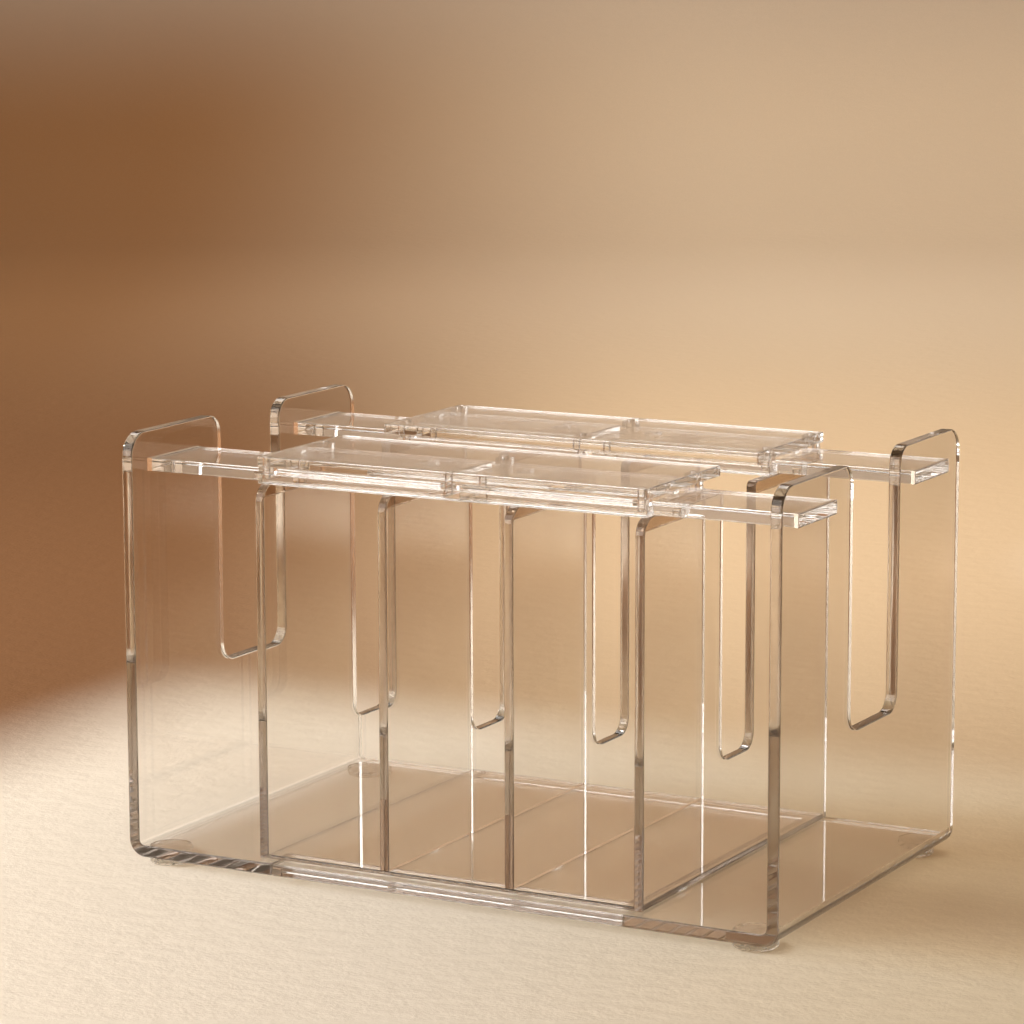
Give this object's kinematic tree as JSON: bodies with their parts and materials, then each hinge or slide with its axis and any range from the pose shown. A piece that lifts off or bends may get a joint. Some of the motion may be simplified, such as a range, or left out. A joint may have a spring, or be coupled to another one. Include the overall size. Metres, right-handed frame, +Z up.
{
  "type": "expandable desktop bookshelf",
  "caption": "Clear acrylic desktop bookshelf whose end panels slide out on flat rails from a centre unit with dividers.",
  "frame": {"origin": "on the surface that the feet stand on, under the middle of the closed shelf", "axes": "+X along the shelf from the left end panel to the right one, +Y from the open front to the back, +Z up"},
  "size_m": [0.36, 0.216, 0.22],
  "materials": {
    "clear_sheet_thick": "polished",
    "clear_sheet": "polished",
    "clear_sheet_thin": "polished",
    "clear_bar": "polished",
    "smoke_glide": "polished",
    "clear_bumper": "gloss"
  },
  "bodies": {
    "centre_unit": {"floor_sheet": "clear_sheet_thin", "divider_1": "clear_sheet", "divider_2": "clear_sheet", "divider_3": "clear_sheet", "divider_4": "clear_sheet", "front_glide_strips": "smoke_glide", "rear_glide_strips": "smoke_glide", "front_sleeve_top": "clear_bar", "front_sleeve_outer_bar": "clear_bar", "front_sleeve_inner_bar": "clear_bar", "front_sleeve_posts": "clear_bar", "front_sleeve_pins": "clear_bar", "rear_sleeve_top": "clear_bar", "rear_sleeve_outer_bar": "clear_bar", "rear_sleeve_inner_bar": "clear_bar", "rear_sleeve_posts": "clear_bar", "rear_sleeve_pins": "clear_bar", "sleeve_stop_blocks": "clear_bar"},
    "left_slider": {"left_frame": "clear_sheet_thick", "left_front_rail": "clear_bar", "left_rear_rail": "clear_bar", "left_rail_stops": "clear_bar", "front_left_foot": "clear_bumper", "rear_left_foot": "clear_bumper"},
    "right_slider": {"right_frame": "clear_sheet_thick", "right_front_rail": "clear_bar", "right_rear_rail": "clear_bar", "right_rail_stops": "clear_bar", "front_right_foot": "clear_bumper", "rear_right_foot": "clear_bumper"}
  },
  "joints": [
    {"name": "left_extension", "type": "slide", "parent": "centre_unit", "child": "left_slider", "axis": [-1, 0, 0], "range_m": [0, 0.07]},
    {"name": "right_extension", "type": "slide", "parent": "centre_unit", "child": "right_slider", "axis": [1, 0, 0], "range_m": [0, 0.07]}
  ]
}
